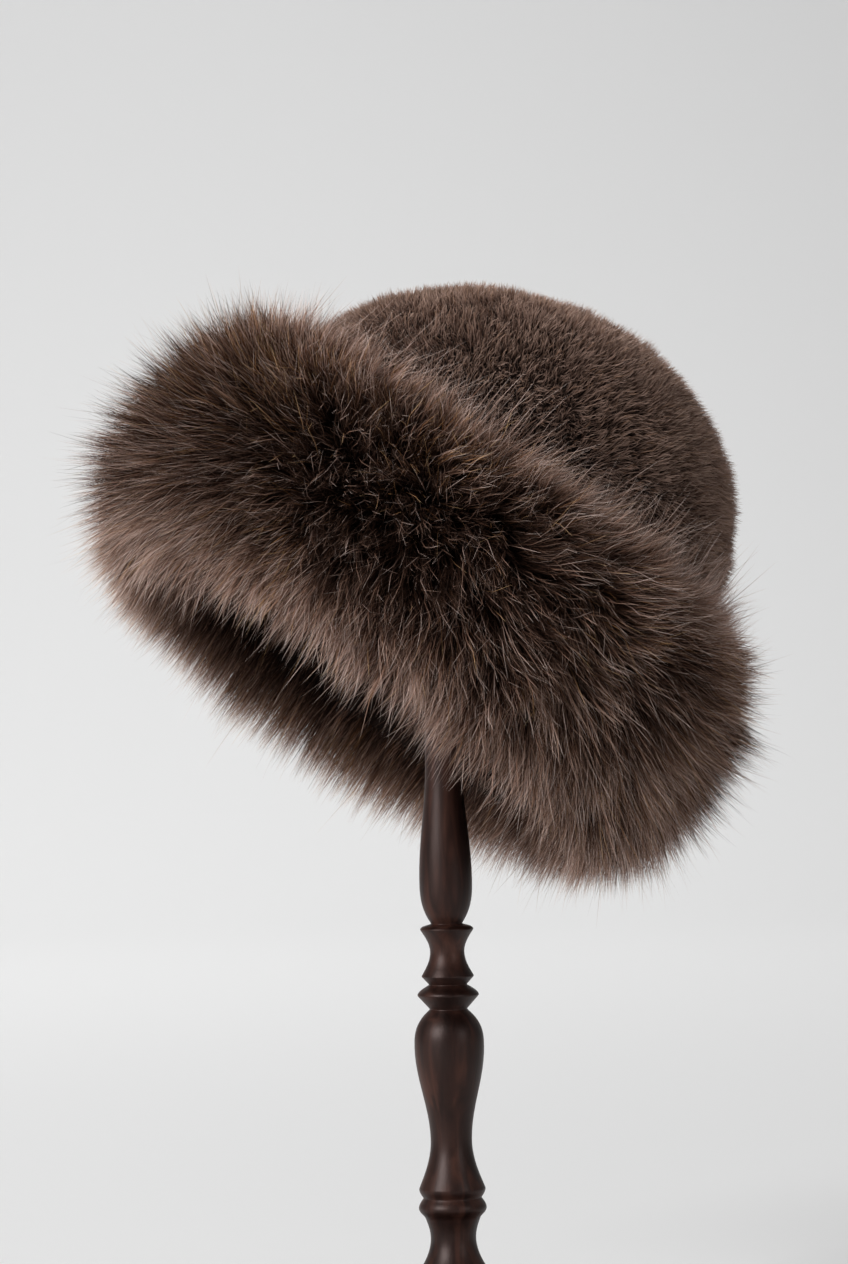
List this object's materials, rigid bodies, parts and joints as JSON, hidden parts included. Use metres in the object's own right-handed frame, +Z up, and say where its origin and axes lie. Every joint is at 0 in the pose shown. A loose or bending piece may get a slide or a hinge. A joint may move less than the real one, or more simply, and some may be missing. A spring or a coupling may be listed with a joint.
{
  "type": "fur hat on a turned wooden stand",
  "caption": "Fur hat with a short-piled domed crown and a very full long-haired brim, tilted on a slender turned wooden stand with a round foot.",
  "frame": {"origin": "the middle of the foot's underside, on the stand's axis", "axes": "+Z up along the stand's axis, +X to the side that the hat's crown leans to, +Y to the back of the hat as it is shown"},
  "size_m": [0.3067, 0.3291, 0.4806],
  "materials": {
    "crown_fur": "matte",
    "brim_fur": "matte",
    "dark_wood": "satin"
  },
  "bodies": {
    "root": {"crown": "crown_fur", "brim": "brim_fur", "stand_base": "dark_wood", "stand_spindle": "dark_wood", "stand_head": "dark_wood"}
  },
  "joints": []
}
